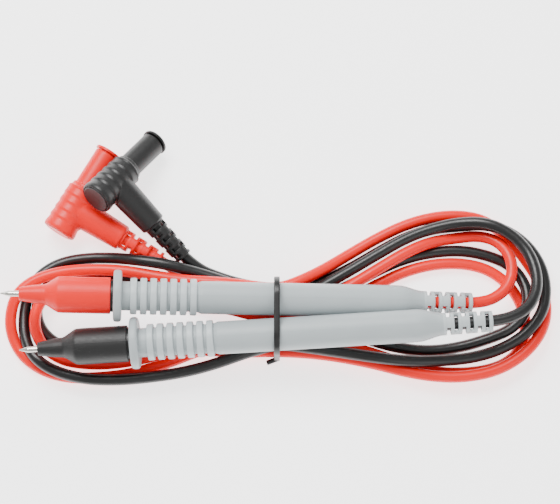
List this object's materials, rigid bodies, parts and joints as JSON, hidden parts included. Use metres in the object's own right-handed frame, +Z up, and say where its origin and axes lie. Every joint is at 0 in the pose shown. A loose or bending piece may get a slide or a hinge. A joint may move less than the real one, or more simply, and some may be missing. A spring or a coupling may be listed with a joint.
{
  "type": "multimeter test lead pair",
  "caption": "Red and black multimeter test leads with slim probes, capped needles, right-angle shrouded plugs and coiled cords, tied in a flat bundle.",
  "frame": {"origin": "on the surface the bundle rests on, at the middle of the box round the two probes and the tie", "axes": "+X along the probes from the needle tips to the cord ends, +Y across the probes towards the plugs, +Z up"},
  "size_m": [0.1803, 0.0855, 0.0269],
  "materials": {
    "needle_steel": "ground and plated",
    "red_soft_cap": "moulded, soft touch",
    "black_soft_cap": "moulded, soft touch",
    "black_core": "moulded",
    "grey_handle": "satin moulded",
    "grey_boot": "satin moulded",
    "tinned_brass": "tinned",
    "nickel_plate": "nickel plated",
    "red_plug": "satin moulded",
    "black_plug": "satin moulded",
    "red_lead": "satin extruded",
    "black_lead": "satin extruded",
    "tie_pvc": "extruded",
    "tie_steel": "drawn"
  },
  "bodies": {
    "leads": {"red_needle": "needle_steel", "red_core": "black_core", "red_handle": "grey_handle", "red_solder_cup": "tinned_brass", "red_probe_boot": "grey_boot", "red_probe_lead_end": "red_lead", "red_plug_housing": "red_plug", "red_plug_end_disc": "red_plug", "red_plug_shroud": "red_plug", "red_banana_pin": "nickel_plate", "red_plug_terminal": "tinned_brass", "red_plug_boot": "red_plug", "red_plug_lead_end": "red_lead", "red_cord": "red_lead", "black_needle": "needle_steel", "black_core": "black_core", "black_handle": "grey_handle", "black_solder_cup": "tinned_brass", "black_probe_boot": "grey_boot", "black_probe_lead_end": "black_lead", "black_plug_housing": "black_plug", "black_plug_end_disc": "black_plug", "black_plug_shroud": "black_plug", "black_banana_pin": "nickel_plate", "black_plug_terminal": "tinned_brass", "black_plug_boot": "black_plug", "black_plug_lead_end": "black_lead", "black_cord": "black_lead", "tie_sleeve": "tie_pvc", "tie_wire": "tie_steel"},
    "red_tip_cap_body": {"red_tip_cap": "red_soft_cap"},
    "red_cage_body": {"red_spring_cage": "nickel_plate"},
    "red_stopper_body": {"red_stopper": "red_plug"},
    "black_tip_cap_body": {"black_tip_cap": "black_soft_cap"},
    "black_cage_body": {"black_spring_cage": "nickel_plate"},
    "black_stopper_body": {"black_stopper": "black_plug"}
  },
  "joints": [
    {"name": "red_tip_cap_slide", "type": "slide", "parent": "leads", "child": "red_tip_cap_body", "axis": [-0.9969, 0.0078, 0.0785], "range_m": [0, 0.04]},
    {"name": "red_stopper_slide", "type": "slide", "parent": "leads", "child": "red_stopper_body", "axis": [0.515, 0.8572, 0], "range_m": [0, 0.02]},
    {"name": "red_cage_turn", "type": "hinge", "parent": "leads", "child": "red_cage_body", "pos_m": [-0.0517, 0.04873, 0.00575], "axis": [0.515, 0.8572, 0], "continuous": true},
    {"name": "black_tip_cap_slide", "type": "slide", "parent": "leads", "child": "black_tip_cap_body", "axis": [-0.998, -0.0575, -0.0279], "range_m": [0, 0.04]},
    {"name": "black_stopper_slide", "type": "slide", "parent": "leads", "child": "black_stopper_body", "axis": [0.5771, 0.7127, -0.3987], "range_m": [0, 0.02]},
    {"name": "black_cage_turn", "type": "hinge", "parent": "leads", "child": "black_cage_body", "pos_m": [-0.0371, 0.05433, 0.00877], "axis": [0.5771, 0.7127, -0.3987], "continuous": true}
  ]
}
